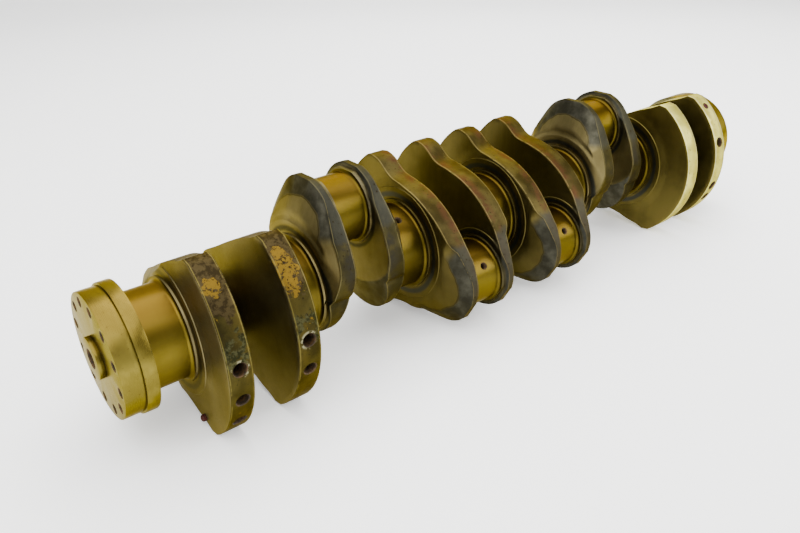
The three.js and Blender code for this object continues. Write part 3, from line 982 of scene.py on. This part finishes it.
def bolt_cutters(face_x, outward, count, circle_r, radius, depth):
    """Cutters for blind holes on a bolt circle, in a face that looks along X."""
    steps = [
        (radius - 1.5, -depth - 2),
        (radius, -depth),
        (radius, -0.9),
        (radius + 0.9, 0.1),
        (radius + 2, 1.2),
    ]
    cutters = []
    for i in range(count):
        y, z = polar(circle_r, BOLT_START + i * 360 / count)
        cutters.append(hole_cutter((face_x, y, z), (outward, 0, 0), steps, 32))
    return cutters


def make_flange():
    """Flange disc, the shoulder behind it and the boss in front, each turned."""
    low, high = (Vector(corner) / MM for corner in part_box("flange_disc"))
    radius = high.y
    inside = high.x + 1
    profile = rounded([(CAP_R, low.x), (radius, low.x), (radius, inside), (CORE_R, inside)], 0.9)
    disc = turned("flange_disc_shown", profile, FLANGE)
    carve(disc, bolt_cutters(low.x, -1, **FLANGE_BOLTS))
    place_piece(disc, "flange_disc")

    low, high = (Vector(corner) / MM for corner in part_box("flange_shoulder"))
    radius = high.y
    profile = rounded([(CORE_R, low.x), (radius, low.x), (radius, high.x), (CORE_R, high.x)], 1.2)
    place_piece(turned("flange_shoulder_shown", profile, FLANGE), "flange_shoulder")

    low, high = (Vector(corner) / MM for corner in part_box("flange_boss"))
    radius = high.y
    corners = [(BOSS_CAP_R, low.x), (radius, low.x), (radius, high.x), (BOSS_CAP_R, high.x)]
    profile = rounded(corners, 1.0)
    boss = turned("flange_boss_shown", profile, FLANGE)
    steps = [
        (BOSS_BORE_R - 5, -5.6),
        (BOSS_BORE_R, -5.4),
        (BOSS_BORE_R, -1),
        (BOSS_BORE_R + 1, 0.1),
        (BOSS_BORE_R + 3, 2),
    ]
    carve(boss, [hole_cutter((low.x, 0, 0), (-1, 0, 0), steps, 64)])
    place_piece(boss, "flange_boss")


def make_drum():
    """Drum at the far end, with its pilot recess and bolt holes."""
    low, high = (Vector(corner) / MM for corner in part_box("end_drum"))
    radius = high.y
    corners = [(CORE_R, low.x), (radius, low.x), (radius, high.x), (CAP_R, high.x)]
    drum = turned("end_drum_shown", rounded(corners, 1.5), FLANGE)
    pilot = [
        (PILOT_R - 2, -12.5),
        (PILOT_R, -11),
        (PILOT_R, -1.5),
        (PILOT_R + 1.5, 0.1),
        (PILOT_R + 4, 2.6),
    ]
    cutters = [hole_cutter((high.x, 0, 0), (1, 0, 0), pilot, 96, FLANGE)]
    cutters += bolt_cutters(high.x, 1, **DRUM_BOLTS)
    carve(drum, cutters)
    place_piece(drum, "end_drum")


def make_face_plug():
    """Plug that stands out of the face of web 1, with a soft domed head."""
    low, high = (Vector(corner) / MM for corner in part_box("balance_plug_web_1"))
    radius = (high.y - low.y) / 2
    dome_height = 3
    profile = []
    for deg in range(80, -1, -10):
        turn = math.radians(deg)
        profile.append((radius * math.cos(turn), low.x + dome_height * (1 - math.sin(turn))))
    profile.append((radius, high.x))
    middle = (low + high) / 2
    piece = turned("balance_plug_web_1_shown", profile, PLUG, (0, middle.y, middle.z), 48, 60)
    place_piece(piece, "balance_plug_web_1")


def make_rim_plug():
    """Plug set in the rim of web 12, with a hollow in its head."""
    place, out = rim_plug_place()
    steps = [
        (3, -10),
        (PLUG_R, -9),
        (PLUG_R, -0.6),
        (PLUG_R - 0.6, 0),
        (PLUG_R - 1.4, 0),
        (PLUG_R - 1.8, -0.9),
    ]
    piece = hole_cutter(place, out, steps, 48, PLUG)
    piece.name = f"balance_plug_web_{RIM_PLUG_WEB}_shown"
    place_piece(piece, f"balance_plug_web_{RIM_PLUG_WEB}")


# ---------------------------------------------------------------- making the shaft


def rim_point(n, deg, sideways=0):
    """Point on the rim of web n at an angle, in metres."""
    return tuple(Vector((centre_of(f"web_{n}").x / MM + sideways, *polar(RIM_R, deg))) * MM)


def rim_materials():
    """Rim material of each web. Webs 1 and 2 have marks of their own, and the far webs' rims are painted
    pale as painted light.
    """
    tinted = web_rim("rim_tinted", RIM_TONES["tinted"])
    plain = web_rim("rim_plain", RIM_TONES["plain"])
    # The pale rims are painted light, for the far webs lit from the right.
    pale = web_rim("rim_painted_light", RIM_TONES["pale"])
    rims = {n: plain for n in range(1, 13)}
    rims |= {n: tinted for n in (5, 6, 7, 8)}
    rims |= {n: pale for n in FAR_WEBS}
    for n, (deg, sideways, half_size) in BARE_PATCH.items():
        marks = (rim_point(n, deg, sideways), half_size, rim_point(n, CHIPPED_DEG))
        rims[n] = web_rim(f"rim_scaled_{n}", RIM_TONES["scaled"], marks)
    return rims


# Lit and shaded copies of one journal material: the inner journals are painted darker, as shade between the
# webs.
GROUND = ground_journal("ground_end_journal", 0.88)
GROUND_INNER_PAINTED_SHADE = ground_journal("ground_journal", 0.56)
FLANGE = turned_flange()
HOLE = drilled_hole()
PLUG = red_plug()
FACES = {}
for side in ("main", "pin"):
    for web_kind in FACE_PAINTED_LIGHT_GAIN:
        FACES[side, web_kind] = web_face(f"web_face_{side}_{web_kind}", side == "main", web_kind)
RIMS = rim_materials()

make_journals()
for number in range(1, 13):
    make_web(number)
make_flange()
make_drum()
make_face_plug()
make_rim_plug()


# ---------------------------------------------------------------- stage, lights and camera


# Camera: where it stands, and the heading, tilt and roll of its view, in metres and degrees.
CAMERA_PLACE = (-0.6420, -0.6316, 0.3981)
HEADING = 51.5
TILT = -27.8
ROLL = -1.22
LENS = 32.46
SHIFT = (0.0025, -0.0043)

# Floor, in metres: half its width, the ends of its level part, the bend up into each wall, and the top.
FLOOR_HALF_WIDTH = 16
FLOOR_NEAR = -9
FLOOR_FAR = 2.5
BEND_R = 1.5
BEND_STEPS = 12
WALL_TOP = 6


def floor_profile():
    """Points (along, up) of the floor, from the top of one wall to the top of the other."""
    bend = []
    for i in range(BEND_STEPS + 1):
        turn = math.radians(90 * i / BEND_STEPS)
        bend.append((BEND_R * math.sin(turn), BEND_R * (1 - math.cos(turn))))
    near = [(FLOOR_NEAR - out, up) for out, up in reversed(bend)]
    far = [(FLOOR_FAR + out, up) for out, up in bend]
    return [(FLOOR_NEAR - BEND_R, WALL_TOP), *near, *far, (FLOOR_FAR + BEND_R, WALL_TOP)]


def pale_floor():
    """Near-white floor that glows a little, with faint clouds."""
    g = Graph("pale_floor")
    colour = g.mix(g.noise(g.coords(), 3, 3), (0.93, 0.93, 0.92), (0.96, 0.96, 0.95))
    return g.finish(
        Base_Color=colour,
        Roughness=0.9,
        Emission_Color=(1.0, 1.0, 1.0),
        Emission_Strength=0.4,
    )


def make_floor():
    """Pale sweep: a floor that curves up into a wall behind the shaft and another behind the camera."""
    sides = (-FLOOR_HALF_WIDTH, FLOOR_HALF_WIDTH)
    points = [(along, across, up) for along, up in floor_profile() for across in sides]
    faces = [(i, i + 1, i + 3, i + 2) for i in range(0, len(points) - 2, 2)]
    mesh = bpy.data.meshes.new("floor")
    mesh.from_pydata(points, [], faces)
    mesh.polygons.foreach_set("use_smooth", [True] * len(faces))
    mesh.materials.append(pale_floor())
    floor = bpy.data.objects.new("floor", mesh)
    floor.rotation_euler.z = math.radians(HEADING)
    floor.location.z = cad_box[0][2] - 0.001
    bpy.context.scene.collection.objects.link(floor)


def add_light(name, place, size, power):
    """Soft square light aimed at the middle of the shaft."""
    data = bpy.data.lights.new(name, "AREA")
    data.shape = "SQUARE"
    data.size = size
    data.energy = power
    light = bpy.data.objects.new(name, data)
    light.location = place
    light.rotation_euler = (-Vector(place)).to_track_quat("-Z", "Y").to_euler()
    bpy.context.scene.collection.objects.link(light)


def make_camera():
    """Camera at its place, turned by its heading, tilt and roll."""
    heading, tilt, roll = (math.radians(deg) for deg in (HEADING, TILT, ROLL))
    forward = Vector((
        math.cos(tilt) * math.cos(heading),
        math.cos(tilt) * math.sin(heading),
        math.sin(tilt),
    ))
    level = forward.cross(Vector((0, 0, 1))).normalized()
    up = level.cross(forward)
    right = level * math.cos(roll) + up * math.sin(roll)
    data = bpy.data.cameras.new("camera")
    data.sensor_width = 36
    data.lens = LENS
    data.shift_x, data.shift_y = SHIFT
    camera = bpy.data.objects.new("camera", data)
    turn = Matrix((right, right.cross(forward), -forward)).transposed().to_4x4()
    camera.matrix_world = Matrix.Translation(Vector(CAMERA_PLACE)) @ turn
    bpy.context.scene.collection.objects.link(camera)
    bpy.context.scene.camera = camera


def make_world():
    """Even white light from all round."""
    world = bpy.data.worlds.new("studio")
    world.use_nodes = True
    background = world.node_tree.nodes["Background"]
    background.inputs["Color"].default_value = (1.0, 1.0, 1.0, 1)
    background.inputs["Strength"].default_value = 0.7
    bpy.context.scene.world = world


make_floor()
add_light("key", (-0.5, -0.3, 2.0), 3.0, 109)
add_light("back", (1.3, 1.0, 1.8), 2.4, 84)
add_light("front", (-2.0, -0.6, 1.3), 2.0, 25)
add_light("side", (1.5, -1.5, 1.0), 1.4, 56)
make_world()
make_camera()
